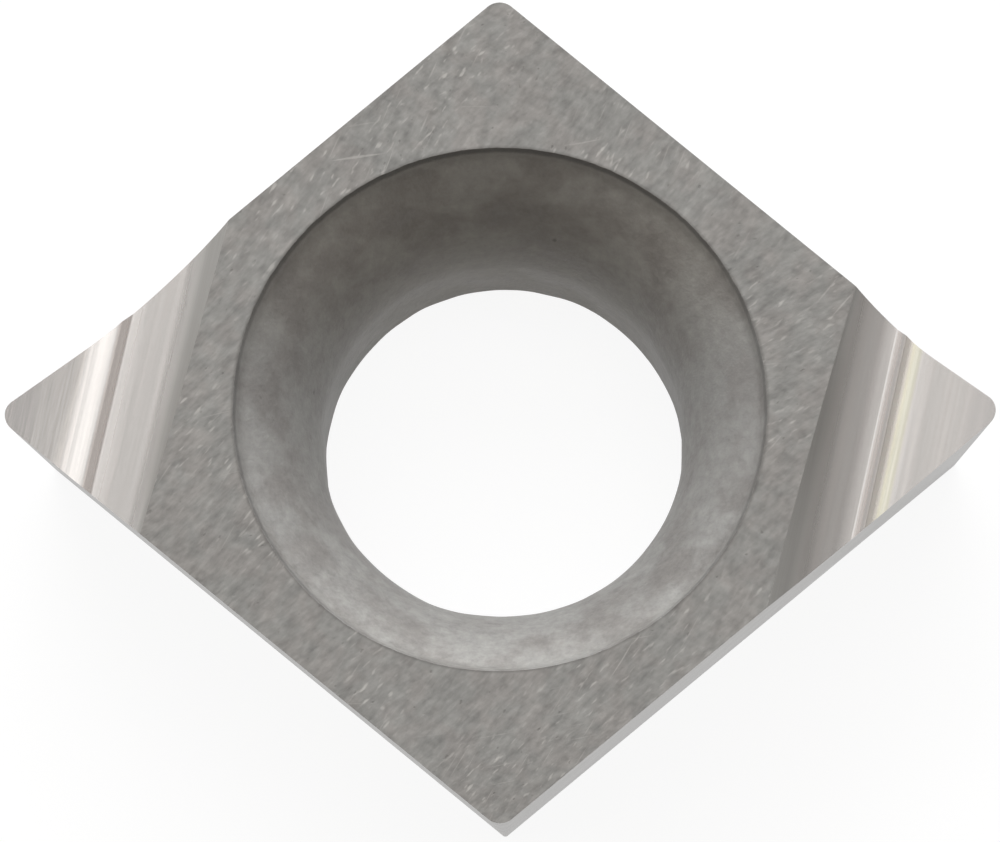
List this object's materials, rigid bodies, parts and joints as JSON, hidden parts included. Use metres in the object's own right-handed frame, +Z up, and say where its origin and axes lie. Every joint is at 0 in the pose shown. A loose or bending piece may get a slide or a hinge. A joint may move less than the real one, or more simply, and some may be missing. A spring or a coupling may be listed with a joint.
{
  "type": "carbide turning insert",
  "caption": "Rhombic positive carbide turning insert with a countersunk screw hole and a ground chipbreaker groove across each acute corner.",
  "frame": {"origin": "on the bottom face, on the axis of the screw hole", "axes": "+X along the long diagonal through the two acute cutting corners, +Z up out of the top face"},
  "size_m": [0.0054, 0.0046, 0.0014],
  "materials": {
    "carbide": "lapped top face, finely ground flanks and grooves, matt as-sintered screw seat"
  },
  "bodies": {
    "root": {"insert": "carbide"}
  },
  "joints": []
}
